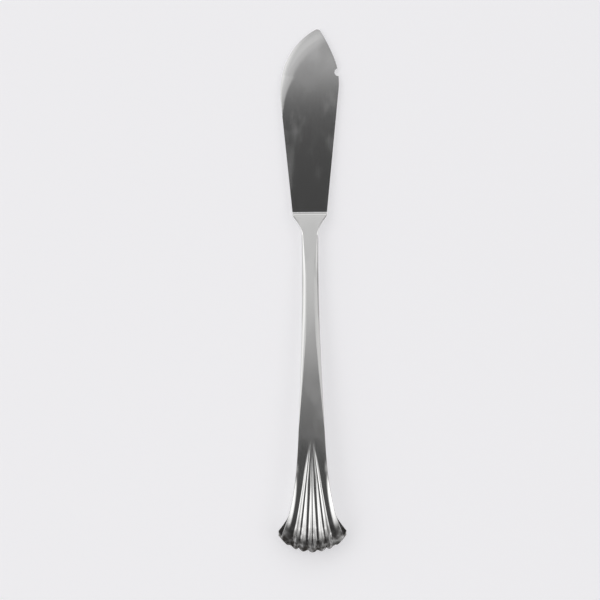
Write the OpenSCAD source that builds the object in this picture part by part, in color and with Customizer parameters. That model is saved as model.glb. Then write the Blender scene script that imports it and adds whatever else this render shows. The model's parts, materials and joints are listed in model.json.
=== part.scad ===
// Butter knife with a hollow handle.
// A flat blade with a tang, a flared bolster, and two struck shells that meet along
// a brazed seam and carry a fluted fan on both faces. Cement holds the tang.
// X runs across the knife, Y along it towards the tip and Z up from the table.
// The knife lies as it rests: on the tip of the blade and on the fan.

/* [Blade] */
// Length of the blade from the bolster to the tip
blade_l = 59.5; // [52:0.5:70]
// Thickness of the blade
blade_t = 1.4; // [1:0.1:1.6]
// Width of the blade where it meets the bolster
root_w = 11.3; // [9:0.1:13]
// How far the spreading edge stands out from the centre line
belly_x = 9.26; // [8:0.02:11]
// Distance from the tip back to the widest point of the spreading edge
belly_d = 20.8; // [18:0.2:25]
// Radius of the spreading edge at its widest point
belly_r = 29.2; // [24:0.2:36]
// How far the spine stands out from the centre line
spine_x = 9.88; // [8.5:0.02:11]
// Distance from the tip back to the widest point of the spine
spine_d = 17.4; // [15:0.2:21]
// Radius of the spine at its widest point
spine_r = 22.5; // [18:0.5:28]
// Distance of the tip from the centre line
tip_x = 2.9; // [1:0.1:4]
// Radius of the tip
tip_r = 1.3; // [0.8:0.1:2]
// Width of the ground bevel along the spreading edge
bevel_w = 1.5; // [0.8:0.1:2.2]
// Thickness left at the spreading edge
edge_t = 0.4; // [0.2:0.05:0.7]
// Distance from the tip at which the bevel runs out
bevel_d = 28.5; // [26:0.5:34]
// Radius of the notch in the spine
notch_r = 1.25; // [0.65:0.05:1.6]
// Distance from the tip to the notch
notch_d = 14; // [12:0.2:15]
// Depth of the notch
notch_depth = 1.15; // [0.4:0.05:1.3]

/* [Tang] */
// Length of the tang behind the blade
tang_l = 46; // [30:1:55]
// Width of the tang
tang_w = 3; // [2:0.1:3.1]
// Thickness of the tang
tang_t = 1.2; // [0.8:0.1:1.4]
// Depth of the cement beyond the end of the tang
cement_over = 4; // [2:0.5:10]

/* [Bolster] */
// Length of the bolster that shows
bolster_l = 7.5; // [6:0.5:10]
// Length of the sloped front face of the bolster
bolster_face_l = 1.3; // [0.8:0.1:2]
// Height of the step from the blade up to the sloped face
bolster_step = 0.25; // [0.1:0.05:0.4]
// Width and height of the chamfer at the front of the bolster
bolster_chamfer = 0.4; // [0.2:0.05:0.6]
// Length of the spigot inside the shells
spigot_l = 5; // [3:0.5:8]

/* [Handle] */
// Length of the handle from the blade to the end of the fan
handle_l = 110.5; // [100:0.5:125]
// Width of the handle at its narrowest
neck_w = 5.3; // [5.1:0.1:7]
// Distance from the blade to the narrowest place
neck_d = 22; // [14:1:35]
// Width of the handle where the fan begins to spread
tail_w = 8.7; // [7:0.1:11]
// Distance from the blade to where the fan begins to spread
tail_d = 72; // [64:1:78]
// Thickness of the handle at the bolster
neck_t = 3.9; // [3.6:0.1:5]
// Thickness of the handle where the fan begins to turn down
tail_t = 8.8; // [6:0.1:11]
// Width of the chamfer along the handle
chamfer_w = 1.5; // [0.8:0.05:1.7]
// Height of the chamfer along the handle
chamfer_h = 0.55; // [0.3:0.05:0.8]
// Distance from the blade to where the chamfer begins to narrow
chamfer_d = 48; // [36:1:60]
// Width that is left of the chamfer on the fan
fan_chamfer = 0.12; // [0.08:0.02:0.3]
// Thickness of the wall of each shell
wall = 0.6; // [0.4:0.05:0.7]
// Thickness of the braze in the seam
braze_t = 0.12; // [0.06:0.02:0.3]

/* [Fan] */
// How far each side of the fan spreads beyond the taper of the handle
fan_spread = 5.7; // [3.5:0.1:7]
// Radius of the arc along the end of the fan
lip_r = 14.6; // [12.5:0.1:20]
// Distance from the blade to the point where the flutes begin
apex_d = 73; // [66:0.5:78]
// Width of the five narrow flutes together at the end of the fan
flutes_w = 11.4; // [8:0.2:13]
// Depth of the narrow flutes at the end of the fan
flute_depth = 0.4; // [0.25:0.05:0.7]
// Depth of the side panels at the end of the fan
panel_depth = 1; // [0.4:0.05:1.2]
// Length over which the fan turns down to its end
roll_l = 26.5; // [20:0.5:30]
// Thickness of the fan at its end
lip_t = 2.6; // [2.2:0.1:3.4]
// How far the end of the fan is cut back between its lobes
scallop = 0.9; // [0.2:0.05:1.2]
// How far the ears stand out beside the fan
ear_w = 1.5; // [0.8:0.1:2.5]
// Length of the slanted side of the ears
ear_l = 4.2; // [2:0.1:6]
// Distance from the end of the fan to the points of the ears
ear_d = 7; // [6:0.1:9]
// Thickness of each half of the ears
ear_t = 0.5; // [0.3:0.05:0.7]

/* [Fits] */
// Clearance between a piece and the piece that it fits into
fit = 0.06; // [0.02:0.01:0.12]

/* [Hidden] */

// Share of the way from the middle of the fan to its main crest at which the inner crests lie
inner_crest = 0.14;
middle_crest = 0.57;
// Power of the curve of the fan's sides
spread_power = 3;
// Power of the curve of the handle's taper
taper_power = 1.5;
// Power of the curve of the bolster's sides
flare_power = 1.7;
// Half the width that the flutes still have where they begin, and the share of the neck's width
// that the middle of the top takes at the bolster
apex_half = 0.35;
plain_share = 0.25;
// Places of the lobes across the end of the fan, and of the ears' notches outside them
lobes = [-2.4, -1.62, -1, -0.57, 0, 0.57, 1, 1.62, 2.4];
// Length of the short return of an ear from its point to the fan
ear_back = 1.9;
// Powers by which the inner flutes, the outer flutes and the panels deepen towards the end
depth_powers = [1.8, 1.1, 1.15];
// Share of a panel's width, from the main crest, at which the panel is deepest,
// and the powers of its fall from the crest and of its rise to the rim
panel_low = 0.4;
panel_fall = 4;
panel_rise = 2;
// Greatest share of the inside's half width that the chamfer takes
chamfer_most = 0.85;
// Greatest share of the top's flat width that the narrow flutes take, and of its height that a cut takes
flutes_most = 0.9;
cut_most = 0.45;
// Power by which the lobes' cuts grow towards the end
lobe_power = 6;
// Share of the top's height above the seam at which the side meets the ear, and of the ear at its rim
foot_share = 0.6;
rim_share = 0.6;
// Thickness of the turned lip, and the least height of the face above the seam, in walls
lip_walls = 3;
least_walls = 0.33;
// Length of handle before the fan that has the fan's close rows
fan_lead = 4;
// Columns of points across a panel, as shares of its width from the main crest
panel_columns = [0.07, 0.2, 0.4, 0.6, 0.8];
// Steps across a narrow flute and along each stretch of the handle
narrow_steps = 4;
handle_steps = 6;
apex_steps = 8;
roll_steps = 22;
// How far round the roll of the fan goes, in degrees
roll_angle = 80;
// Angles at which the long curves of the blade leave the belly and the spine
belly_join = 168;
spine_join = 22.4;
// Angles by which the bevel's cuts pass the tip and the end of the bevel
tip_turn = 25;
runout_turn = 0.5;
// Steps along each arc of the blade
arc_steps = 14;
// Length by which a cut passes its piece
over = 1;

half_t = blade_t / 2;
seam_z = braze_t / 2;
half_neck_t = neck_t / 2;
half_tail_t = tail_t / 2;
half_lip_t = lip_t / 2;
roll_d = handle_l - roll_l;
cement_l = tang_l + cement_over;
flute_start = tail_d - fan_lead;
bevel_slope = (half_t - edge_t / 2) / bevel_w;

function along(c, r, a) = c + r * [cos(a), sin(a)];
function arc(c, r, a0, a1) = [for (i = [0:arc_steps]) along(c, r, a0 + (a1 - a0) * i / arc_steps)];
function angle_of(v) = atan2(v[1], v[0]);
function mix(a, b, t) = a + (b - a) * t;
function clamp01(t) = min(1, max(0, t));

// Angle on a circle at which a straight line from point p touches it
function touch_angle(p, c, r, side) = angle_of(p - c) + side * acos(r / norm(p - c));

// Radius of the arc that leaves point j with inward normal n and closes round circle c, r
function closing_r(j, n, c, r) = (r * r - (j - c) * (j - c)) / (2 * ((j - c) * n + r));

// Outline of the blade: circles at the tip, the belly and the spine,
// long arcs between them, and straight sides down to the root
tip_c = [tip_x, blade_l - tip_r];
belly_c = [belly_r - belly_x, blade_l - belly_d];
spine_c = [spine_x - spine_r, blade_l - spine_d];
belly_j = along(belly_c, belly_r, belly_join);
belly_n = -[cos(belly_join), sin(belly_join)];
edge_r = closing_r(belly_j, belly_n, tip_c, tip_r);
edge_c = belly_j + edge_r * belly_n;
spine_j = along(spine_c, spine_r, spine_join);
spine_n = -[cos(spine_join), sin(spine_join)];
clip_r = closing_r(spine_j, spine_n, tip_c, tip_r);
clip_c = spine_j + clip_r * spine_n;
root_left = [-root_w / 2, 0];
root_right = [root_w / 2, 0];
belly_end = touch_angle(root_left, belly_c, belly_r, -1) + 360;
spine_start = touch_angle(root_right, spine_c, spine_r, 1);
clip_end = angle_of(tip_c - clip_c);
edge_start = angle_of(tip_c - edge_c);

blade_outline = concat(
    [root_right],
    arc(spine_c, spine_r, spine_start, spine_join),
    arc(clip_c, clip_r, spine_join, clip_end),
    arc(tip_c, tip_r, clip_end, edge_start),
    arc(edge_c, edge_r, edge_start, belly_join),
    arc(belly_c, belly_r, belly_join, belly_end),
    [root_left]);
tang_outline = [
    [-tang_w / 2, over],
    [-tang_w / 2, tang_w / 2 - tang_l],
    [-tang_w / 4, -tang_l],
    [tang_w / 4, -tang_l],
    [tang_w / 2, tang_w / 2 - tang_l],
    [tang_w / 2, over]];

// The bevel follows the edge from the tip to the belly and then runs out along the side
belly_touch = along(belly_c, belly_r, belly_end);
bevel_end = mix(root_left, belly_touch, (blade_l - bevel_d) / belly_touch[1]);
bevel_j = belly_j + bevel_w * belly_n;
runout_v = bevel_j - bevel_end;
runout_r = -(runout_v * runout_v) / (2 * (runout_v * belly_n));
runout_c = bevel_j + runout_r * belly_n;
runout_end = (angle_of(bevel_end - runout_c) + 360) % 360;

// The notch is a round cut whose deepest point lies notch_depth inside the spine
notch_y = blade_l - notch_d;
notch_edge = spine_c[0] + sqrt(pow(spine_r, 2) - pow(notch_y - spine_c[1], 2));
notch_x = notch_edge - notch_depth + notch_r;

// Half the width and half the thickness of the handle at distance d from the blade
function half_w(d) = neck_w / 2
    + (tail_w - neck_w) / 2 * pow(max(0, (d - neck_d) / (tail_d - neck_d)), taper_power)
    + fan_spread * pow(max(0, (d - tail_d) / (handle_l - tail_d)), spread_power);
function roll_turn(d) = asin(clamp01((d - roll_d) / roll_l) * sin(roll_angle));
function roll_share(d) = (cos(roll_turn(d)) - cos(roll_angle)) / (1 - cos(roll_angle));
function full_h(d) = mix(half_neck_t, half_tail_t, (d - bolster_l) / (roll_d - bolster_l));
function half_h(d) = mix(half_lip_t, full_h(d), roll_share(d));
function chamfer_share(d) = clamp01((d - chamfer_d) / (roll_d - chamfer_d));
function cham_w(d) = min(
    mix(chamfer_w, fan_chamfer, chamfer_share(d)),
    chamfer_most * (half_w(d) - wall - fit));
function cham_h(d) = mix(chamfer_h, fan_chamfer, chamfer_share(d));

// Rows of the handle bend into the arc of the fan's end
function bend(d) = pow(clamp01((d - tail_d) / (handle_l - tail_d)), 2);
function sag(x) = lip_r - sqrt(pow(lip_r, 2) - pow(x, 2));
function edge_x(d, off) =
    let (a = half_w(d) - off, b = half_w(d - bend(d) * sag(a)) - off)
    half_w(d - bend(d) * sag(b)) - off;

// Half the width of the narrow flutes together, from a plain panel through the apex to the end
function fan_half(d) = d < apex_d
    ? mix(plain_share * neck_w, apex_half, (d - bolster_l) / (apex_d - bolster_l))
    : mix(apex_half, flutes_w / 2, (d - apex_d) / (handle_l - apex_d));
function fan_grow(d) = clamp01((d - apex_d) / (handle_l - apex_d));

// How far the ear stands out beside the edge at distance d: a slanted side up to its point,
// then a short return
ear_point = handle_l - ear_d;
function ear(d) =
    let (before = 1 - (ear_point - d) / ear_l, after = 1 - (d - ear_point) / ear_back)
    ear_w * clamp01(d < ear_point ? before : after);

// Share of the cut between the lobes at the fan's end, at a place across it:
// round lobes with sharp notches
function lobe_cut(place) = sum_cuts([for (i = [0:len(lobes) - 2])
    let (p = (place - lobes[i]) / (lobes[i + 1] - lobes[i]))
    p >= 0 && p < 1 ? pow(1 - abs(1 - 2 * p), 2) : 0]);
function sum_cuts(cuts) = cuts * [for (c = cuts) 1];

// Columns across the top of a shell: [place, share of the depth there, 0 in an inner flute,
// 1 in an outer flute or 2 in a panel].
// Place 0 is the middle, 1 the main crest, 2 the edge of the top and 3 the foot of the chamfer.
crests = [-1, -middle_crest, -inner_crest, inner_crest, middle_crest, 1];
last_flute = len(crests) - 2;
function panel_share(q) = 1 - (q < panel_low
    ? pow(1 - q / panel_low, panel_fall)
    : pow((q - panel_low) / (1 - panel_low), panel_rise));
right_panel = [for (q = panel_columns) [1 + q, panel_share(q), 2]];
left_panel = [for (i = [len(right_panel) - 1:-1:0]) [-right_panel[i][0], right_panel[i][1], 2]];
columns = concat(
    [[-3, 0, 2], [-2, 0, 2]],
    left_panel,
    [for (i = [0:last_flute]) for (j = [0:narrow_steps - 1])
        let (p = j / narrow_steps)
        [mix(crests[i], crests[i + 1], p), 4 * p * (1 - p), i == 0 || i == last_flute ? 1 : 0]],
    [[1, 0, 2]],
    right_panel,
    [[2, 0, 2], [3, 0, 2]]);

// Rows along the handle, closer together as the fan turns down
rows = concat(
    [for (i = [0:handle_steps - 1]) mix(bolster_l, flute_start, i / handle_steps)],
    [for (i = [0:apex_steps - 1]) mix(flute_start, roll_d, i / apex_steps)],
    [for (i = [0:roll_steps]) roll_d + roll_l * sin(roll_angle * i / roll_steps) / sin(roll_angle)]);
row_n = len(rows);
col_n = len(columns);

// A point on the face of the shell, or on its inside when off is the wall
function face_point(d, column, off) =
    let (
        place = abs(column[0]),
        side = sign(column[0]),
        edge = edge_x(d, off),
        flat = edge - cham_w(d),
        main = min(fan_half(d), flutes_most * flat),
        x = side * (place <= 1 ? place * main : place <= 2 ? mix(main, flat, place - 1) : edge),
        depth = (column[2] == 2 ? panel_depth : flute_depth) * pow(fan_grow(d), depth_powers[column[2]]),
        cut = min(depth, cut_most * half_h(d)) * column[1],
        drop = place == 3 ? cham_h(d) : 0,
        back = scallop * lobe_cut(min(2, place)) * pow(fan_grow(d), lobe_power)
    )
    [x, bend(d) * sag(x) + back - d, max(seam_z + least_walls * wall, half_h(d) - off - cut - drop)];

// Rows of the inside stop one wall and the turned lip short of the end
function inner_row(d) = mix(bolster_l, handle_l - lip_walls * wall, (d - bolster_l) / (handle_l - bolster_l));
function face_grid(off) = [for (d = rows) let (e = off > 0 ? inner_row(d) : d)
    for (column = columns) face_point(e, column, off)];

// Boundary of a grid from the mouth down one side, round the end of the fan and back
function border() = concat(
    [for (i = [0:row_n - 1]) i * col_n],
    [for (j = [1:col_n - 1]) (row_n - 1) * col_n + j],
    [for (i = [1:row_n - 1]) (row_n - i) * col_n - 1]);

// Loops of points down the side below that boundary: 0 at the foot of the side, 1 round the rim
// of the ears and 2 along the seam. The inside has no ears.
function side_z(p, k) = seam_z + min(ear_t, foot_share * (p[2] - seam_z)) * [1, rim_share, 0][k];
function side_out(p, k, off) =
    k > 0 && off == 0 && abs(p[0]) > edge_x(-p[1], 0) - fan_chamfer ? sign(p[0]) * ear(-p[1]) : 0;
function side_loop(k, off) = let (grid = face_grid(off)) [for (i = border())
    let (p = grid[i]) [p[0] + side_out(p, k, off), p[1], side_z(p, k)]];
function side_loops(off) = [for (k = [0:2]) each side_loop(k, off)];

// Quads between two equal strips of point numbers, as triangles
function strip(a, b) = [for (i = [0:len(a) - 2]) each [[a[i], a[i + 1], b[i + 1]], [a[i], b[i + 1], b[i]]]];
function row_ids(start, r) = [for (j = [0:col_n - 1]) start + r * col_n + j];
function shift(ids, start) = [for (i = ids) i + start];
function turn_over(faces) = [for (f = faces) [f[2], f[1], f[0]]];

module shell() {
    grid_n = row_n * col_n;
    loop = border();
    loop_n = len(loop);
    loop_ids = [for (i = [0:loop_n - 1]) i];
    inner = grid_n + 3 * loop_n;
    outer_side = concat([loop], [for (k = [0:2]) shift(loop_ids, grid_n + k * loop_n)]);
    inner_side = [for (ids = outer_side) shift(ids, inner)];
    outer_mouth = concat(
        [for (k = [3:-1:1]) outer_side[k][0]],
        row_ids(0, 0),
        [for (k = [1:3]) outer_side[k][loop_n - 1]]);
    inner_mouth = shift(outer_mouth, inner);
    polyhedron(
        points = concat(face_grid(0), side_loops(0), face_grid(wall), side_loops(wall)),
        faces = concat(
            [for (r = [0:row_n - 2]) each strip(row_ids(0, r), row_ids(0, r + 1))],
            [for (k = [0:2]) each strip(outer_side[k], outer_side[k + 1])],
            strip(outer_side[3], inner_side[3]),
            [for (k = [0:2]) each turn_over(strip(inner_side[k], inner_side[k + 1]))],
            [for (r = [0:row_n - 2]) each turn_over(strip(row_ids(inner, r), row_ids(inner, r + 1)))],
            strip(inner_mouth, outer_mouth)));
}

// A closed solid through rings of points that all have as many points
module loft(rings) {
    n = len(rings[0]);
    last = len(rings) - 1;
    polyhedron(
        points = [for (ring = rings) each ring],
        faces = concat(
            [[for (i = [0:n - 1]) i]],
            [for (r = [0:last - 1]) for (i = [0:n - 1])
                let (a = r * n + i, b = r * n + (i + 1) % n)
                each [[a, a + n, b + n], [a, b + n, b]]],
            [[for (i = [0:n - 1]) last * n + n - 1 - i]]));
}

// Ring round the handle: a rectangle with chamfered corners
function ring(d, w, h, cw, ch) = [for (p = [
    [w, ch - h], [w, h - ch], [w - cw, h], [cw - w, h],
    [-w, h - ch], [-w, ch - h], [cw - w, -h], [w - cw, -h]]) [p[0], -d, p[1]]];
function handle_ring(d, off) = ring(d, half_w(d) - off, half_h(d) - off, cham_w(d), cham_h(d));
function face_share(d) = clamp01((d - bolster_face_l) / (bolster_l - bolster_face_l));
function bolster_w(d) = mix(half_w(d), root_w / 2, pow(1 - face_share(d), flare_power));
function bolster_ring(d) = ring(d, bolster_w(d), half_h(d),
    mix(bolster_chamfer, cham_w(d), face_share(d)),
    mix(bolster_chamfer, cham_h(d), face_share(d)));

module tang_slot(length) {
    translate([-tang_w / 2 - fit, -length, -tang_t / 2 - fit])
        cube([tang_w + 2 * fit, length + over, tang_t + 2 * fit]);
}

// The knife rests on the tip of the blade and on the thickest place of the fan
rest_y = blade_l - bevel_w;
rest_angle = atan(max([for (d = rows) (half_h(d) - half_t) / (d + rest_y)]));
module lay() {
    mid = (handle_l - blade_l) / 2 * cos(rest_angle);
    lift = rest_y * sin(rest_angle) + half_t * cos(rest_angle);
    translate([0, mid, lift])
        rotate([-rest_angle, 0, 0])
            children();
}

module bevel_cut(c, r, from, to) {
    reach = 2 * bevel_w;
    translate([c[0], c[1], 0])
        rotate([0, 0, from])
            rotate_extrude(angle = to - from, $fn = 180)
                polygon([
                    [r, half_t],
                    [r + reach, half_t - reach * bevel_slope],
                    [r + reach, half_t + over],
                    [r, half_t + over]]);
}

module bevel_cuts() {
    bevel_cut(edge_c, edge_r - bevel_w, edge_start - tip_turn, belly_join);
    bevel_cut(runout_c, runout_r, belly_join, runout_end + runout_turn);
}

module blade() {
    color("darkgray")
        lay()
            difference() {
                union() {
                    translate([0, 0, -half_t])
                        linear_extrude(blade_t)
                            polygon(blade_outline);
                    translate([0, 0, -tang_t / 2])
                        linear_extrude(tang_t)
                            polygon(tang_outline);
                }
                translate([notch_x, notch_y, -half_t - over])
                    cylinder(r = notch_r, h = blade_t + 2 * over, $fn = 48);
                bevel_cuts();
                mirror([0, 0, 1]) bevel_cuts();
            }
}

module bolster() {
    steps = 10;
    front = ring(0, root_w / 2, half_t + bolster_step, bolster_chamfer, bolster_step);
    color("silver")
        lay()
            difference() {
                union() {
                    loft(concat(
                        [front],
                        [for (i = [0:steps]) bolster_ring(mix(bolster_face_l, bolster_l, i / steps))]));
                    loft([
                        handle_ring(bolster_l - over, wall + fit),
                        handle_ring(bolster_l + spigot_l, wall + fit)]);
                }
                tang_slot(bolster_l + spigot_l + over);
            }
}

module handle_front_shell() {
    color("gainsboro")
        lay()
            shell();
}

module handle_back_shell() {
    color("lightgray")
        lay()
            mirror([0, 0, 1])
                shell();
}

module seam_braze() {
    outer = [for (p = side_loop(2, 0)) [p[0], p[1]]];
    inner = [for (p = side_loop(2, wall)) [p[0], p[1]]];
    color("whitesmoke")
        lay()
            translate([0, 0, -seam_z])
                linear_extrude(braze_t)
                    polygon(concat(outer, [for (i = [len(inner) - 1:-1:0]) inner[i]]));
}

module tang_cement() {
    steps = 6;
    start = bolster_l + spigot_l + fit;
    color("tan")
        lay()
            difference() {
                loft([for (i = [0:steps]) handle_ring(mix(start, cement_l, i / steps), wall + fit)]);
                tang_slot(tang_l + fit);
            }
}

blade();
bolster();
handle_front_shell();
handle_back_shell();
seam_braze();
tang_cement();
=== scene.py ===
import json
import math

import bmesh
import bpy
import numpy as np
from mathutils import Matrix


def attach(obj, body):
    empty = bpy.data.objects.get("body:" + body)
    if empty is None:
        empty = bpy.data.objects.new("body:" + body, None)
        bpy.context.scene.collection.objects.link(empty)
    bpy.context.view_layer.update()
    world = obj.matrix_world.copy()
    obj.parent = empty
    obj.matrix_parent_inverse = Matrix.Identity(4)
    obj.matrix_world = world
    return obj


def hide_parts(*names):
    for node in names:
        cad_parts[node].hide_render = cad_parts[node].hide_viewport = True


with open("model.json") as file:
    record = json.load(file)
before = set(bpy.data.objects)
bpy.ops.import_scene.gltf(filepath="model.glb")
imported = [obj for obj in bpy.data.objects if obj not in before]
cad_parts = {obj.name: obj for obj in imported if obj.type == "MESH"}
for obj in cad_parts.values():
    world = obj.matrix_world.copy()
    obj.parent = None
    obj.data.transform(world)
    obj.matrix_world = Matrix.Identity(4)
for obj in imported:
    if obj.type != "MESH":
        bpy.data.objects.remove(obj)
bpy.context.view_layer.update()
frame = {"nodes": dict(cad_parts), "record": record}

MM = 0.001

# Blade, in millimetres, from its root at y = 0 to its tip
BLADE_L = 59.5
HALF_T = 0.7
ROOT_W = 11.3
BELLY_X, BELLY_D, BELLY_R, BELLY_JOIN = 9.26, 20.8, 29.2, 168
SPINE_X, SPINE_D, SPINE_R, SPINE_JOIN = 9.88, 17.4, 22.5, 22.4
TIP_X, TIP_R = 2.9, 1.3
BEVEL_D = 28.5
GROUND_W, GROUND_DROP, GROUND_POWER = (6.0, 4.5), (0.25, 0.45), 3.4
GROUND_BEGINS, RIM_W = (0.1, 0.4), 0.05
EDGE_ROUND, CORNER_ROUND, CORNER_NEAR = 0.06, 0.005, 0.3
SHOULDER_IN, SHOULDER_D, BURIED_D, BURIED_ROUND = 0.1, 0.4, 0.05, 0.02
NOTCH_R, NOTCH_D, NOTCH_DEPTH = 1.25, 14.0, 1.15
TANG_L, TANG_W, TANG_T, TANG_ROUND = 46.0, 3.0, 1.2, 0.15

# Bolster and handle, by distance d from the blade
BOLSTER_L, FACE_L, STEP, FLARE_POWER = 7.5, 1.3, 0.25, 1.7
HANDLE_L = 110.5
NECK_W, NECK_D, TAIL_W, TAIL_D, TAPER_POWER = 5.3, 22.0, 8.7, 72.0, 1.5
NECK_T, TAIL_T, LIP_T = 3.9, 8.8, 2.6
CHAMFER_W, CHAMFER_H, FAN_CHAMFER = 1.5, 0.55, 0.12
CHAMFER_TURN, CHAMFER_TOP, CHAMFER_POWER = 0.7, 0.45, 1.3
FRONT_CHAMFER, CHAMFER_GROWS = (0.3, 0.22), (3.0, 22.0)
CHAMFER_NARROWS, CHAMFER_LOWERS = (40.0, 70.0), (34.0, 66.0)
BRAZE_T, WALL = 0.12, 0.6

# Fluted fan
SPREAD, SPREAD_POWER, LIP_R = 5.7, 3, 14.6
APEX_D, APEX_HALF, FLUTES_W = 73.0, 0.35, 11.4
FLUTE_DEPTH, PANEL_DEPTH, PANEL_LOW = 0.4, 1.0, 0.4
CREST_REACH, CUT_REACH = 0.9, 0.45
INNER_POWER, OUTER_POWER, PANEL_POWER = 1.8, 1.1, 1.15
ROLL_L, ROLL_ANGLE = 26.5, 80
SCALLOP, LOBE_POWER = 0.9, 6
EAR_W, EAR_L, EAR_BACK, EAR_D, EAR_T = 1.5, 4.2, 1.9, 7.0, 0.5
CRESTS = (-2, -1, -0.57, -0.14, 0.14, 0.57, 1, 2)
LOBES = (-2.4, -1.62, -1, -0.57, 0, 0.57, 1, 1.62, 2.4)
CREST_ROUND, FLUTE_SOFT, PANEL_SOFT = 0.05, 0.03, 0.12
# Painted shade at the fan's end: where it grows in, its share on what stands out, where it covers all
PAINTED_SHADE_SPAN, RAISED_SHADE_SHARE, FULL_SHADE_SPAN = (98.0, 107.0), 0.25, (104.0, 108.5)

# Where the knife lies: the frame of the blade's back face gives its tilt and its place
MOUNT_Y = 30.0
mount = frame["record"]["mounts"][0]
TILT_SIN, TILT_COS = -mount["axis"][1], -mount["axis"][2]
MID = mount["pos_m"][1] / MM - MOUNT_Y * TILT_COS + HALF_T * TILT_SIN
LIFT = mount["pos_m"][2] / MM + MOUNT_Y * TILT_SIN + HALF_T * TILT_COS


def mix(a, b, t):
    """The value at share t of the way from a to b."""
    return a + (b - a) * t


def share(v, start, end):
    """How far v has gone from start to end, held between 0 and 1."""
    return np.clip((v - start) / (end - start), 0, 1)


def lay(x, y, z):
    """Points of the knife, drawn along its own seam plane, as it lies on the table, in metres."""
    x, y, z = np.broadcast_arrays(x, y, z)
    row_y = y * TILT_COS + z * TILT_SIN + MID
    row_z = -y * TILT_SIN + z * TILT_COS + LIFT
    return np.stack([x, row_y, row_z], axis=-1) * MM


def quads(rows, cols, closed):
    """Four point numbers for each cell of a grid. A closed grid joins its last column to its first."""
    r = np.arange(rows - 1)[:, None]
    c = np.arange(cols if closed else cols - 1)[None, :]
    n = (c + 1) % cols
    corners = [r * cols + c, (r + 1) * cols + c, (r + 1) * cols + n, r * cols + n]
    return np.stack(np.broadcast_arrays(*corners), axis=-1).reshape(-1, 4)


def piece(name, points, faces, nodes, sharp=40, ground_and_shaded=None):
    """A closed, smooth-shaded mesh that rides on the knife and stands for CAD nodes. The share of grinding
    or of painted shade at each point, where there is any, goes with it as an attribute."""
    mesh = bpy.data.meshes.new(name)
    mesh.from_pydata(points.reshape(-1, 3).tolist(), [], faces)
    if ground_and_shaded is not None:
        mesh.attributes.new("ground_and_shaded", "FLOAT", "POINT").data.foreach_set("value", ground_and_shaded)
    made = bmesh.new()
    made.from_mesh(mesh)
    bmesh.ops.remove_doubles(made, verts=made.verts, dist=1e-7)
    bmesh.ops.dissolve_degenerate(made, edges=made.edges, dist=1e-8)
    bmesh.ops.recalc_face_normals(made, faces=made.faces)
    made.to_mesh(mesh)
    made.free()
    mesh.polygons.foreach_set("use_smooth", np.ones(len(mesh.polygons), dtype=bool))
    mesh.set_sharp_from_angle(angle=math.radians(sharp))
    obj = bpy.data.objects.new(name, mesh)
    bpy.context.scene.collection.objects.link(obj)
    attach(obj, "root")
    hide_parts(*nodes)
    return obj


def tube_faces(rows, cols, start=0):
    """Faces of a closed tube of rings with a flat cap on both ends."""
    sides = (quads(rows, cols, True) + start).tolist()
    first = list(range(start, start + cols))
    last = list(range(start + (rows - 1) * cols, start + rows * cols))
    return sides + [first, last]


def half_w(d):
    """Half the width: a slow taper from the neck, then a cubic flare into the fan."""
    taper = np.maximum(0, (d - NECK_D) / (TAIL_D - NECK_D)) ** TAPER_POWER
    flare = np.maximum(0, (d - TAIL_D) / (HANDLE_L - TAIL_D)) ** SPREAD_POWER
    return NECK_W / 2 + (TAIL_W - NECK_W) / 2 * taper + SPREAD * flare


def half_h(d):
    """Half the thickness: a straight growth along the handle, then an ellipse rolling down to the lip."""
    roll_d = HANDLE_L - ROLL_L
    end = math.radians(ROLL_ANGLE)
    turn = np.arcsin(share(d, roll_d, HANDLE_L) * math.sin(end))
    rolled = (np.cos(turn) - math.cos(end)) / (1 - math.cos(end))
    full = mix(NECK_T / 2, TAIL_T / 2, (d - BOLSTER_L) / (roll_d - BOLSTER_L))
    return mix(LIP_T / 2, full, rolled)


def chamfer(d):
    """Width and height of the chamfer, which grows smoothly out of the bolster and narrows evenly to almost
    nothing before the fan."""
    grown = share(d, *CHAMFER_GROWS)
    grown = grown ** 2 * (3 - 2 * grown)
    full_w, full_h = mix(FRONT_CHAMFER[0], CHAMFER_W, grown), mix(FRONT_CHAMFER[1], CHAMFER_H, grown)
    narrow, low = share(d, *CHAMFER_NARROWS), share(d, *CHAMFER_LOWERS)
    return mix(full_w, FAN_CHAMFER, narrow), mix(full_h, FAN_CHAMFER, low)


def eased(t):
    """Share of the chamfer's height at a share of its width: a gentle power curve from the top to the turn,
    and a steeper straight fall from there to the outer edge."""
    gentle = np.minimum(t / CHAMFER_TURN, 1) ** CHAMFER_POWER
    return CHAMFER_TOP * gentle + (1 - CHAMFER_TOP) * share(t, CHAMFER_TURN, 1)


def growth(d, soft):
    """How far the fan has grown from its apex: an even growth to 1 at its end, after a soft start."""
    way = share(d, APEX_D, HANDLE_L)
    return (np.sqrt(way ** 2 + soft ** 2) - soft) / (math.sqrt(1 + soft ** 2) - soft)


def bend(d):
    """How far rows across the handle have bent into the arc of the fan's end."""
    return share(d, TAIL_D, HANDLE_L) ** 2


def sag(x):
    """How far the arc of the fan's end falls back at a distance from its middle."""
    return LIP_R - np.sqrt(LIP_R ** 2 - x ** 2)


def edge_x(d):
    """Half the width where a bent row meets the side."""
    x = half_w(d)
    for _ in range(3):
        x = half_w(d - bend(d) * sag(x))
    return x


def ear(d):
    """How far the ear stands out at the seam: a slanted side up to its point, then a short return."""
    point = HANDLE_L - EAR_D
    return EAR_W * np.minimum(share(d, point - EAR_L, point), 1 - share(d, point, point + EAR_BACK))


def lobe_cut(place):
    """Share of the cut between the round lobes at the fan's end, at places across it."""
    lobes = np.array(LOBES, dtype=float)
    i = np.clip(np.searchsorted(lobes, place, side="right") - 1, 0, len(lobes) - 2)
    p = (place - lobes[i]) / (lobes[i + 1] - lobes[i])
    return (1 - np.abs(1 - 2 * p)) ** 2


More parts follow.
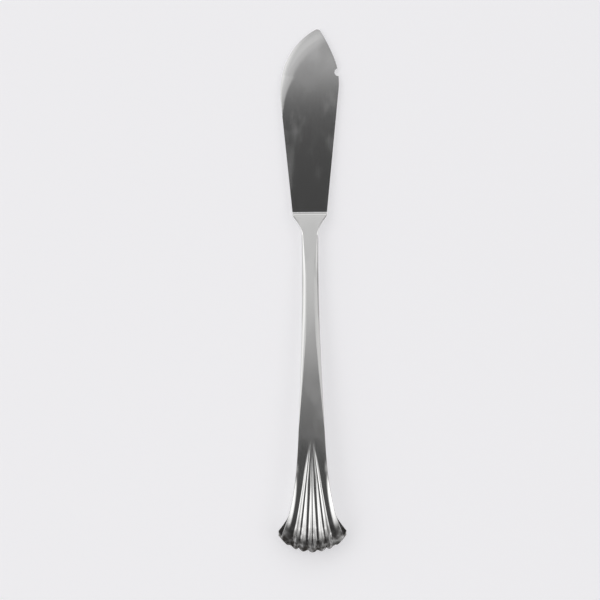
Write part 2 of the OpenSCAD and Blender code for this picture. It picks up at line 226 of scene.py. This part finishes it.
def face_columns(narrow=16, panel=26, side=8, skirt=8):
    """Places across a shell, from seam to seam, with the share of the depth there and 1 in a side panel.
    Place 0 is the middle, 1 the main crest, 2 the edge of the top, 3 the foot of the chamfer, 4 the seam.
    A flute is a parabola between its crests, and a panel falls quickly from the main crest and rises slowly
    to its rim. Both are rounded at their crests, where columns gather."""
    place, depth, is_panel = [], [], []
    for i, (a, b) in enumerate(zip(CRESTS, CRESTS[1:])):
        outer = i in (0, len(CRESTS) - 2)
        t = np.arange(panel if outer else narrow) / (panel if outer else narrow)
        p = (1 - np.cos(np.pi * t)) / 2
        q = p if a > 0 else 1 - p
        f = 4 * p * (1 - p)
        if outer:
            fall, rise = (1 - q / PANEL_LOW) ** 4, ((q - PANEL_LOW) / (1 - PANEL_LOW)) ** 2
            f = 1 - np.where(q < PANEL_LOW, fall, rise)
        place.append(mix(a, b, p))
        depth.append(np.sqrt(f ** 2 + CREST_ROUND ** 2) - CREST_ROUND)
        is_panel.append(np.full(len(t), float(outer)))
    rim = np.concatenate([np.linspace(2, 3, side + 1), np.linspace(3, 4, skirt + 1)[1:]])
    place = np.concatenate([-rim[:0:-1], *place, rim])
    depth = np.concatenate([np.zeros(len(rim) - 1), *depth, np.zeros(len(rim))])
    is_panel = np.concatenate([np.ones(len(rim) - 1), *is_panel, np.ones(len(rim))])
    return place, depth, is_panel


def face_rows():
    """Distances along the shell, closer together as the fan turns down."""
    roll_d = HANDLE_L - ROLL_L
    end = math.radians(ROLL_ANGLE)
    turned = roll_d + ROLL_L * np.sin(np.linspace(0, end, 140)) / math.sin(end)
    return np.concatenate([np.linspace(BOLSTER_L, APEX_D - 5, 60)[:-1],
                           np.linspace(APEX_D - 5, roll_d, 60)[:-1], turned])


def handle_half(name, node, face):
    """One struck half of the handle. Across each row the flat top, chamfer and side follow the widths above,
    the flutes are cut below the top by their depth, the row bends into the end's arc by its sag, and the
    lobes cut the last rows back. The lip then drops straight to the seam, in the steps of the sides. Painted
    shade, which stands in for shade and dark reflections, lies in the hollows, on the ears and between the
    lobes towards the fan's end, and is lighter on what stands out."""
    place, depth, is_panel = face_columns()
    rows = face_rows()
    d = rows[:, None]
    c = np.abs(place)[None, :]
    edge = edge_x(d)
    cham_w, cham_h = chamfer(d)
    flat = edge - cham_w
    before = mix(NECK_W / 4, APEX_HALF, (d - BOLSTER_L) / (APEX_D - BOLSTER_L))
    after = mix(APEX_HALF, FLUTES_W / 2, (d - APEX_D) / (HANDLE_L - APEX_D))
    main = np.minimum(np.where(d < APEX_D, before, after), CREST_REACH * flat)
    top_x = np.where(c <= 1, c * main, mix(main, flat, c - 1))
    rim_x = mix(flat, edge, np.minimum(c - 2, 1))
    grow, panel_grow = growth(d, FLUTE_SOFT), growth(d, PANEL_SOFT)
    x = np.where(c <= 2, top_x, rim_x)
    back = SCALLOP * lobe_cut(np.minimum(c, 2)) * grow ** LOBE_POWER
    y = bend(d) * sag(x) + back - d
    h = half_h(d)
    power = np.where(c < CRESTS[-3], INNER_POWER, OUTER_POWER)
    cut = mix(FLUTE_DEPTH * grow ** power, PANEL_DEPTH * panel_grow ** PANEL_POWER, is_panel[None, :])
    cut = np.minimum(cut, CUT_REACH * h) * depth[None, :]
    seam = BRAZE_T / 2
    top_z = np.maximum(seam + WALL / 3, h - cut - cham_h * eased(np.clip(c - 2, 0, 1)))
    foot = np.minimum(seam + EAR_T, top_z)
    z = mix(top_z, foot, share(c, 3, 3.5))
    z = mix(z, seam, share(c, 3.75, 4))
    x = (x + ear(-y) * share(c, 3.5, 3.75)) * np.sign(place)[None, :]
    n_rows, n_cols = x.shape
    left = np.arange(n_rows) * n_cols
    right = left + n_cols - 1
    faces = quads(n_rows, n_cols, False).tolist() + [list(range(n_cols))]
    faces += np.stack([left[:-1], right[:-1], right[1:], left[1:]], axis=-1).tolist()

    side_z, across = z[-1, place >= 3], np.abs(place) <= 3
    fall = (side_z[0] - side_z) / (side_z[0] - seam)
    lip_z = mix(z[-1:, across], seam, fall[:, None])
    lip = lay(x[-1:, across], y[-1:, across], lip_z * face).reshape(-1, 3)
    faces += (quads(*lip_z.shape, False) + x.size).tolist()
    faces.append(list(range(x.size + lip_z.size - lip_z.shape[1], x.size + lip_z.size)))
    points = np.concatenate([lay(x, y, z * face).reshape(-1, 3), lip])
    # Painted shade: full in the hollows, on the ears and between the lobes, a quarter on what stands out
    on_face = np.maximum(mix(RAISED_SHADE_SHARE, 1, depth[None, :]), share(d, *FULL_SHADE_SPAN))
    on_side = np.where((c >= 3.5) & (c <= 3.75), 1, RAISED_SHADE_SHARE)
    on_lip = mix(RAISED_SHADE_SHARE, 1, lobe_cut(np.minimum(c[:, across], 2))) + 0 * lip_z
    painted_shade_share = np.append(share(d, *PAINTED_SHADE_SPAN) * np.where(c > 3, on_side, on_face), on_lip)
    return piece(name, points, faces, [node], ground_and_shaded=painted_shade_share)


def bolster_piece():
    """The flared collar. Each ring is a rectangle whose corners have the eased chamfer; its width flares by
    a power of the distance, and its front face slopes down to just above the blade."""
    d = np.concatenate([np.linspace(0, FACE_L, 14), np.linspace(FACE_L, BOLSTER_L, 44)[1:]])
    flare = (1 - share(d, FACE_L, BOLSTER_L)) ** FLARE_POWER
    w = mix(half_w(d), ROOT_W / 2, flare)
    sloped = mix(HALF_T + STEP, half_h(np.array(FACE_L)), np.sin(share(d, 0, FACE_L) * np.pi / 2))
    h = np.where(d < FACE_L, sloped, half_h(d))
    cw, ch = chamfer(d)
    w, h, cw, ch = (v[:, None] for v in (w, h, cw, ch))
    t = np.linspace(0, 1, 25)
    x = np.hstack([w + 0 * t, mix(w, w - cw, t[1:]), mix(w - cw, 0, t[1:])])
    z = np.hstack([(h - ch) * t, h - ch * eased(1 - t[1:]), h + 0 * t[1:]])
    x = np.hstack([x, -x[:, -2::-1], -x[:, 1:], x[:, -2:0:-1]])
    z = np.hstack([z, z[:, -2::-1], -z[:, 1:], -z[:, -2:0:-1]])
    points = lay(x, np.repeat(-d[:, None], x.shape[1], axis=1), z)
    return piece("bolster_collar", points, tube_faces(*x.shape), ["bolster"])


def direction(degrees):
    """Unit vector at an angle."""
    return np.array([math.cos(math.radians(degrees)), math.sin(math.radians(degrees))])


def angle_of(v):
    """Angle of a vector, in degrees."""
    return math.degrees(math.atan2(v[1], v[0]))


def arc(centre, r, start, end, step=0.2):
    """Points of an arc about every step, without its last point."""
    n = max(4, int(abs(math.radians(end - start)) * r / step))
    a = np.radians(start + (end - start) * np.arange(n) / n)
    return centre + r * np.stack([np.cos(a), np.sin(a)], axis=-1)


def straight(a, b, step=0.2):
    """Points of a straight line about every step, without its last point."""
    n = max(2, int(np.linalg.norm(b - a) / step))
    return mix(a, b, (np.arange(n) / n)[:, None])


def touch_angle(p, centre, r, side):
    """Where a straight line from p touches a circle, on the given side."""
    return angle_of(p - centre) + side * math.degrees(math.acos(r / np.linalg.norm(p - centre)))


def closing_r(j, n, centre, r):
    """Radius of the arc that leaves j with inward normal n and closes on a circle inside it."""
    return (r * r - (j - centre) @ (j - centre)) / (2 * ((j - centre) @ n + r))


def plate(outline, inset, toward, drop, ground, half_t):
    """Rings of a flat plate: its rim steps inwards from the outline to the flat face, in a hollow power curve
    where it is ground and in a rounded edge elsewhere, alike on both faces."""
    t = np.linspace(0, 1, 13)[:, None]
    height = half_t - drop * mix((1 - t) ** 2, (1 - t) ** GROUND_POWER, ground)
    reach = np.vstack([inset * t, inset + np.minimum(RIM_W, inset / 2)])
    height = np.vstack([height, np.full((1, len(outline)), half_t)])
    ring = outline[None] + toward[None] * reach[..., None]
    ring = np.concatenate([ring[::-1], ring])
    return lay(ring[..., 0], ring[..., 1], np.concatenate([height[::-1], -height]))


def inward(outline):
    """Unit normals into a closed outline that runs anticlockwise."""
    run = np.roll(outline, -1, axis=0) - np.roll(outline, 1, axis=0)
    run /= np.linalg.norm(run, axis=1, keepdims=True)
    return np.stack([-run[:, 1], run[:, 0]], axis=-1)


def blade_piece():
    """The blade with its tang. Its outline is straight sides that touch the belly and spine circles, long
    arcs from those to the tip circle, and a round notch. The ground bevel lies outside an arc inside the
    spreading edge, falls by a power of the distance from it, and narrows evenly until it runs out along the
    side."""
    tip = np.array([TIP_X, BLADE_L - TIP_R])
    belly = np.array([BELLY_R - BELLY_X, BLADE_L - BELLY_D])
    spine = np.array([SPINE_X - SPINE_R, BLADE_L - SPINE_D])
    belly_n, spine_n = -direction(BELLY_JOIN), -direction(SPINE_JOIN)
    belly_j, spine_j = belly - BELLY_R * belly_n, spine - SPINE_R * spine_n
    edge_r = closing_r(belly_j, belly_n, tip, TIP_R)
    clip_r = closing_r(spine_j, spine_n, tip, TIP_R)
    edge, clip = belly_j + edge_r * belly_n, spine_j + clip_r * spine_n
    left, right = np.array([-ROOT_W / 2, 0]), np.array([ROOT_W / 2, 0])
    inner_left = left + (SHOULDER_IN, -SHOULDER_D)
    inner_right = right - (SHOULDER_IN, SHOULDER_D)
    belly_end = touch_angle(left, belly, BELLY_R, -1) + 360
    spine_start = touch_angle(right, spine, SPINE_R, 1)
    belly_touch = belly + BELLY_R * direction(belly_end)
    spine_touch = spine + SPINE_R * direction(spine_start)

    notch_y = BLADE_L - NOTCH_D
    notch_x = spine[0] + math.sqrt(SPINE_R ** 2 - (notch_y - spine[1]) ** 2) - NOTCH_DEPTH + NOTCH_R
    notch = np.array([notch_x, notch_y])
    apart = np.linalg.norm(notch - spine)
    half = math.degrees(math.acos((SPINE_R ** 2 + apart ** 2 - NOTCH_R ** 2) / (2 * SPINE_R * apart)))
    facing = angle_of(notch - spine)
    low, high = spine + SPINE_R * direction(facing - half), spine + SPINE_R * direction(facing + half)
    outline = np.concatenate([
        straight(right, spine_touch),
        arc(spine, SPINE_R, spine_start, facing - half),
        arc(notch, NOTCH_R, angle_of(low - notch) % 360, angle_of(high - notch), 0.06),
        arc(spine, SPINE_R, facing + half, SPINE_JOIN),
        arc(clip, clip_r, SPINE_JOIN, angle_of(tip - clip)),
        arc(tip, TIP_R, angle_of(tip - clip), angle_of(tip - edge), 0.06),
        arc(edge, edge_r, angle_of(tip - edge), BELLY_JOIN),
        arc(belly, BELLY_R, BELLY_JOIN, belly_end),
        straight(belly_touch, left),
        straight(left, inner_left, 0.1),
        straight(inner_left, inner_right),
        straight(inner_right, right, 0.1)])

    bevel_end = mix(left, belly_touch, (BLADE_L - BEVEL_D) / belly_touch[1])
    from_edge = outline - edge
    reach = np.linalg.norm(from_edge, axis=1)
    turn = np.degrees(np.arctan2(from_edge[:, 1], from_edge[:, 0])) % 360
    upper = turn < BELLY_JOIN
    full_w = mix(*GROUND_W, share(turn, angle_of(tip - edge), BELLY_JOIN))
    full_drop = mix(*GROUND_DROP, share(turn, angle_of(tip - edge), BELLY_JOIN))
    runs_out = full_w * share(outline[:, 1], bevel_end[1], belly_j[1])
    ground_w = np.where(upper, reach - edge_r + full_w, np.where(outline[:, 0] < 0, runs_out, 0))
    ground_w = np.clip(ground_w, 0, full_w)

    corner = np.minimum(np.linalg.norm(outline - low, axis=1), np.linalg.norm(outline - high, axis=1))
    round_w = mix(CORNER_ROUND, EDGE_ROUND, share(corner, 0, CORNER_NEAR))
    ground = share(ground_w, *GROUND_BEGINS)
    toward = mix(inward(outline), -from_edge / reach[:, None], (ground * upper)[:, None])
    toward /= np.linalg.norm(toward, axis=1, keepdims=True)
    buried = outline[:, 1] < -BURIED_D
    inset = np.where(buried, BURIED_ROUND, np.maximum(round_w, ground_w))
    fall = (ground_w / full_w) ** np.where(upper, GROUND_POWER, 1)
    drop = mix(round_w, full_drop * fall, ground)
    drop = np.where(buried, BURIED_ROUND, drop)
    rings = plate(outline, inset, toward, drop, ground, HALF_T)

    bar = np.array([[-TANG_W / 2, 0], [-TANG_W / 2, TANG_W / 2 - TANG_L], [-TANG_W / 4, -TANG_L],
                    [TANG_W / 4, -TANG_L], [TANG_W / 2, TANG_W / 2 - TANG_L], [TANG_W / 2, 0]])
    tang = np.concatenate([straight(a, b, 1.0) for a, b in zip(bar, np.roll(bar, -1, axis=0))])
    small = np.full(len(tang), TANG_ROUND)
    tang_rings = plate(tang, small, inward(tang), small, np.zeros(len(tang)), TANG_T / 2)
    points = np.concatenate([rings.reshape(-1, 3), tang_rings.reshape(-1, 3)])
    half_ring = np.append(np.linspace(1, 0, rings.shape[0] // 2 - 1) ** 2, 0)
    ground_and_shaded = np.concatenate([half_ring[::-1], half_ring])[:, None] * ground
    ground_and_shaded = np.append(ground_and_shaded.ravel(), np.zeros(tang_rings.shape[0] * tang_rings.shape[1]))
    faces = tube_faces(*rings.shape[:2])
    faces += tube_faces(*tang_rings.shape[:2], start=rings.shape[0] * rings.shape[1])
    return piece("blade_and_tang", points, faces, ["blade"], 14, ground_and_shaded)


def add(tree, kind, values=None, **settings):
    """A node with its settings, and its inputs set to numbers or joined to other nodes' outputs."""
    made = tree.nodes.new(kind)
    for key, value in settings.items():
        setattr(made, key, value)
    for key, value in (values or {}).items():
        if isinstance(value, bpy.types.NodeSocket):
            tree.links.new(value, made.inputs[key])
        else:
            made.inputs[key].default_value = value
    return made


def maths(tree, operation, a, b=0.0):
    """The result of one sum, product or the like of two values."""
    return add(tree, "ShaderNodeMath", {0: a, 1: b}, operation=operation).outputs[0]


def ramp(tree, value, start, end, low=0.0, high=1.0):
    """A smooth step of a value from low to high between start and end."""
    values = {"Value": value, "From Min": start, "From Max": end, "To Min": low, "To Max": high}
    return add(tree, "ShaderNodeMapRange", values, interpolation_type="SMOOTHSTEP").outputs["Result"]


def noise(tree, coords, stretch, detail=2.0, turn=0.0):
    """Noise whose grain is the stretch given, per metre along each axis."""
    spun = add(tree, "ShaderNodeMapping", {"Vector": coords, "Scale": stretch, "Rotation": (0, 0, turn)})
    made = add(tree, "ShaderNodeTexNoise", {"Vector": spun.outputs["Vector"], "Scale": 1.0, "Detail": detail})
    return made.outputs["Fac"]


def wear_group():
    """Shared wear of the metals: polishing lines along the knife, fine scratches at two angles and soft
    smudges. It gives a tinted colour, a roughness and a height."""
    tree = bpy.data.node_groups.new("metal_wear", "ShaderNodeTree")
    for name, kind in (("Colour", "NodeSocketColor"), ("Roughness", "NodeSocketFloat"),
                       ("Lines", "NodeSocketFloat"), ("Smudge", "NodeSocketFloat")):
        tree.interface.new_socket(name, in_out="INPUT", socket_type=kind)
    for name, kind in (("Colour", "NodeSocketColor"), ("Roughness", "NodeSocketFloat"),
                       ("Height", "NodeSocketFloat")):
        tree.interface.new_socket(name, in_out="OUTPUT", socket_type=kind)
    given = tree.nodes.new("NodeGroupInput").outputs
    coords = add(tree, "ShaderNodeTexCoord").outputs["Object"]
    lines = noise(tree, coords, (9000, 260, 9000), 3.0)
    scratch_a = ramp(tree, noise(tree, coords, (5200, 300, 5200), 1.0, 0.7), 0.68, 0.74)
    scratch_b = ramp(tree, noise(tree, coords, (4600, 260, 4600), 1.0, -0.5), 0.69, 0.75)
    scratches = maths(tree, "MAXIMUM", scratch_a, scratch_b)
    smudges = ramp(tree, noise(tree, coords, (130, 70, 130), 5.0), 0.46, 0.72)
    speckle = noise(tree, coords, (1500, 1500, 1500), 2.0)
    centred = maths(tree, "SUBTRACT", lines, 0.5)
    rough = maths(tree, "ADD", given["Roughness"], maths(tree, "MULTIPLY", centred, given["Lines"]))
    rough = maths(tree, "ADD", rough, maths(tree, "MULTIPLY", smudges, given["Smudge"]))
    height = maths(tree, "ADD", maths(tree, "MULTIPLY", lines, given["Lines"]),
                   maths(tree, "MULTIPLY", scratches, -0.25))
    shade = maths(tree, "MULTIPLY", maths(tree, "MULTIPLY", smudges, speckle), given["Smudge"])
    tint = add(tree, "ShaderNodeMix", {"Factor": shade, 6: given["Colour"], 7: (0.35, 0.35, 0.36, 1)},
               data_type="RGBA")
    out = tree.nodes.new("NodeGroupOutput").inputs
    tree.links.new(tint.outputs[2], out["Colour"])
    tree.links.new(rough, out["Roughness"])
    tree.links.new(height, out["Height"])
    return tree


def metal(name, wear, colour, roughness, lines, smudge, bump, ground_and_shaded=0.0, painted_shade_colour=None):
    """Worn metal. Where it was ground or carries painted shade, its roughness rises to the value given, and
    the painted shade comes in small blotches of its own dark colour."""
    material = bpy.data.materials.new(name)
    material.use_nodes = True
    tree = material.node_tree
    shader = tree.nodes["Principled BSDF"]
    shader.inputs["Metallic"].default_value = 1.0
    worn = add(tree, "ShaderNodeGroup", node_tree=wear)
    worn.inputs["Colour"].default_value = (*colour, 1)
    worn.inputs["Roughness"].default_value = roughness
    worn.inputs["Lines"].default_value = lines
    worn.inputs["Smudge"].default_value = smudge
    base = worn.outputs["Colour"]
    if ground_and_shaded:
        mask = add(tree, "ShaderNodeAttribute", attribute_name="ground_and_shaded").outputs["Fac"]
        # Painted shade: the marked share, broken into blotches, darkens the colour towards a dark colour
        if painted_shade_colour:
            coords = add(tree, "ShaderNodeTexCoord").outputs["Object"]
            blotches = ramp(tree, noise(tree, coords, (500, 500, 500), 2.0), 0.15, 0.62)
            mask = maths(tree, "MULTIPLY", mask, blotches)
            base = add(tree, "ShaderNodeMix", {"Factor": mask, 6: base, 7: (*painted_shade_colour, 1)},
                       data_type="RGBA").outputs[2]
        tree.links.new(ramp(tree, mask, 0.0, 1.0, roughness, ground_and_shaded), worn.inputs["Roughness"])
    raised = add(tree, "ShaderNodeBump",
                 {"Height": worn.outputs["Height"], "Strength": bump, "Distance": 2e-6})
    tree.links.new(base, shader.inputs["Base Color"])
    tree.links.new(worn.outputs["Roughness"], shader.inputs["Roughness"])
    tree.links.new(raised.outputs["Normal"], shader.inputs["Normal"])
    return material


def cement():
    """Tan filler with a coarse grain."""
    material = bpy.data.materials.new("tang_filler")
    material.use_nodes = True
    tree = material.node_tree
    shader = tree.nodes["Principled BSDF"]
    coords = add(tree, "ShaderNodeTexCoord").outputs["Object"]
    grain = noise(tree, coords, (1800, 1800, 1800), 5.0)
    tint = add(tree, "ShaderNodeMix", {"Factor": grain, 6: (0.19, 0.15, 0.1, 1), 7: (0.36, 0.3, 0.22, 1)},
               data_type="RGBA")
    raised = add(tree, "ShaderNodeBump", {"Height": grain, "Strength": 0.4, "Distance": 2e-4})
    shader.inputs["Roughness"].default_value = 0.9
    tree.links.new(tint.outputs[2], shader.inputs["Base Color"])
    tree.links.new(raised.outputs["Normal"], shader.inputs["Normal"])
    return material


def table_top():
    """Plain pale table under the knife. Part of its paleness is its own, so that shadows on it stay light."""
    half, own_share, own_light = 1.5, 0.33, 1.435
    corners = [(-half, -half, 0), (half, -half, 0), (half, half, 0), (-half, half, 0)]
    mesh = bpy.data.meshes.new("table_top")
    mesh.from_pydata(corners, [], [(0, 1, 2, 3)])
    obj = bpy.data.objects.new("table_top", mesh)
    bpy.context.scene.collection.objects.link(obj)
    material = bpy.data.materials.new("pale_table")
    material.use_nodes = True
    tree = material.node_tree
    shader = tree.nodes["Principled BSDF"]
    coords = add(tree, "ShaderNodeTexCoord").outputs["Object"]
    soft = noise(tree, coords, (3, 3, 3), 1.0)
    tint = add(tree, "ShaderNodeMix",
               {"Factor": soft, 6: (0.94, 0.935, 0.955, 1), 7: (0.95, 0.945, 0.965, 1)}, data_type="RGBA")
    shader.inputs["Roughness"].default_value = 0.8
    shader.inputs["Specular IOR Level"].default_value = 0.1
    tree.links.new(tint.outputs[2], shader.inputs["Base Color"])
    path = add(tree, "ShaderNodeLightPath").outputs
    seen = maths(tree, "MAXIMUM", path["Is Camera Ray"], path["Is Glossy Ray"])
    seen = maths(tree, "MAXIMUM", seen, path["Is Transmission Ray"])
    own = maths(tree, "MULTIPLY", seen, own_share)
    pale = add(tree, "ShaderNodeEmission", {"Color": tint.outputs[2], "Strength": own_light})
    both = add(tree, "ShaderNodeMixShader",
               {0: own, 1: shader.outputs["BSDF"], 2: pale.outputs["Emission"]})
    tree.links.new(both.outputs["Shader"], tree.nodes["Material Output"].inputs["Surface"])
    mesh.materials.append(material)


def studio():
    """A pale room with a dark ceiling. It is dark overhead and towards the handle's end, grey near the
    horizon, and pale to both sides and towards the blade's end. Each direction has the light of its brightest
    zone: the zone's level, times how far the direction has gone into it along the knife (ahead) or across it
    (aside)."""
    world = bpy.data.worlds.new("studio")
    bpy.context.scene.world = world
    world.use_nodes = True
    tree = world.node_tree
    way = add(tree, "ShaderNodeTexCoord").outputs["Generated"]
    axes = add(tree, "ShaderNodeSeparateXYZ", {0: way}).outputs
    up = maths(tree, "MAXIMUM", axes["Z"], 0.02)
    ahead, aside = axes["Y"], maths(tree, "DIVIDE", axes["X"], up)
    low = ramp(tree, axes["Z"], 0.0, 0.5, 0.3, 0.6)
    light = maths(tree, "MULTIPLY", low, ramp(tree, axes["Z"], 0.5, 0.34))
    front = ramp(tree, axes["Z"], 0.15, 0.6, 0.6, 1.0)
    far = maths(tree, "MULTIPLY", front, 0.9)
    front = maths(tree, "MULTIPLY", front, ramp(tree, ahead, 0.24, 0.36, 1.0, 0.6))
    near, mid = (maths(tree, "MULTIPLY", front, level) for level in (0.68, 0.8))
    walls = ramp(tree, axes["Z"], 0.48, 0.68, 0.35, 1.25)
    walls = maths(tree, "MULTIPLY", walls, ramp(tree, ahead, -0.62, -0.36))
    right = maths(tree, "MAXIMUM", ramp(tree, ahead, 0.06, 0.09, 1.0, 0.3),
                  ramp(tree, ahead, 0.1, 0.15, 0.3, 0.6))
    right = maths(tree, "MULTIPLY", walls, right)
    left = maths(tree, "MULTIPLY", ramp(tree, ahead, 0.0, 0.07, 1.0, 0.76),
                 ramp(tree, ahead, 0.09, 0.13, 1.0, 0.85))
    left = maths(tree, "MULTIPLY", walls, left)
    glow = maths(tree, "MULTIPLY", ramp(tree, ahead, 0.0, 0.05),
                 ramp(tree, axes["Z"], 0.45, 0.65, 0.3, 1.0))
    right_glow = maths(tree, "MULTIPLY", glow, 0.52)
    left_glow = maths(tree, "MULTIPLY", glow, ramp(tree, ahead, 0.15, 0.25, 0.62, 1.05))
    zones = ((ahead, 0.0958, 0.1097, near), (ahead, 0.1132, 0.1564, mid), (ahead, 0.4, 0.7, far),
             (aside, 0.14, 0.32, right_glow), (aside, -0.1, -0.28, left_glow),
             (aside, 0.32, 0.67, right), (aside, -0.25, -0.6, left))
    for way_in, start, end, level in zones:
        zone = ramp(tree, way_in, start, end)
        light = maths(tree, "MAXIMUM", light, maths(tree, "MULTIPLY", zone, level))
    light = maths(tree, "MAXIMUM", light, ramp(tree, ahead, -0.85, -0.5, 0.4, 0.078))
    backdrop = tree.nodes["Background"].inputs
    backdrop["Color"].default_value = (1.0, 0.995, 1.0, 1)
    tree.links.new(light, backdrop["Strength"])


def lamp(name, place, size, power):
    """A soft square lamp that faces the middle of the knife."""
    data = bpy.data.lights.new(name, "AREA")
    data.size = size
    data.energy = power
    obj = bpy.data.objects.new(name, data)
    obj.location = place
    obj.rotation_mode = "QUATERNION"
    obj.rotation_quaternion = (-obj.location).to_track_quat("-Z", "Y")
    bpy.context.scene.collection.objects.link(obj)


def camera():
    """Straight above the knife, turned so that the handle leans a little, with a field of 195 mm."""
    field, height = 0.195, 1.4
    data = bpy.data.cameras.new("above")
    data.sensor_width = 36
    data.lens = 36 * height / field
    obj = bpy.data.objects.new("above", data)
    obj.location = (-0.0034, -0.00304, height + 0.003)
    obj.rotation_euler = (0, 0, math.radians(-0.487))
    bpy.context.scene.collection.objects.link(obj)
    bpy.context.scene.camera = obj


front = handle_half("handle_front_half", "handle_front_shell", 1)
back = handle_half("handle_back_half", "handle_back_shell", -1)
collar = bolster_piece()
blade = blade_piece()

wear = wear_group()
blade_steel = metal("blade_steel", wear, (0.65, 0.65, 0.645), 0.06, 0.03, 0.05, 0.3, 0.22)
# The handle's dark colour is painted shade, for its hollows, ears and fan end
handle_steel = metal("handle_steel", wear, (0.82, 0.82, 0.81), 0.09, 0.03, 0.03, 0.2, 0.18,
                     (0.07, 0.065, 0.06))
braze = metal("braze", wear, (0.62, 0.61, 0.58), 0.3, 0.05, 0.1, 0.3)
for obj in (front, back, collar):
    obj.data.materials.append(handle_steel)
blade.data.materials.append(blade_steel)
for node, material in (("seam_braze", braze), ("tang_cement", cement())):
    held = frame["nodes"][node].data.materials
    held.clear()
    held.append(material)

table_top()
studio()
lamp("key_lamp", (-1.1, 0.3, 0.8), 1.6, 1.8)
camera()
bpy.context.scene.view_settings.view_transform = "Standard"
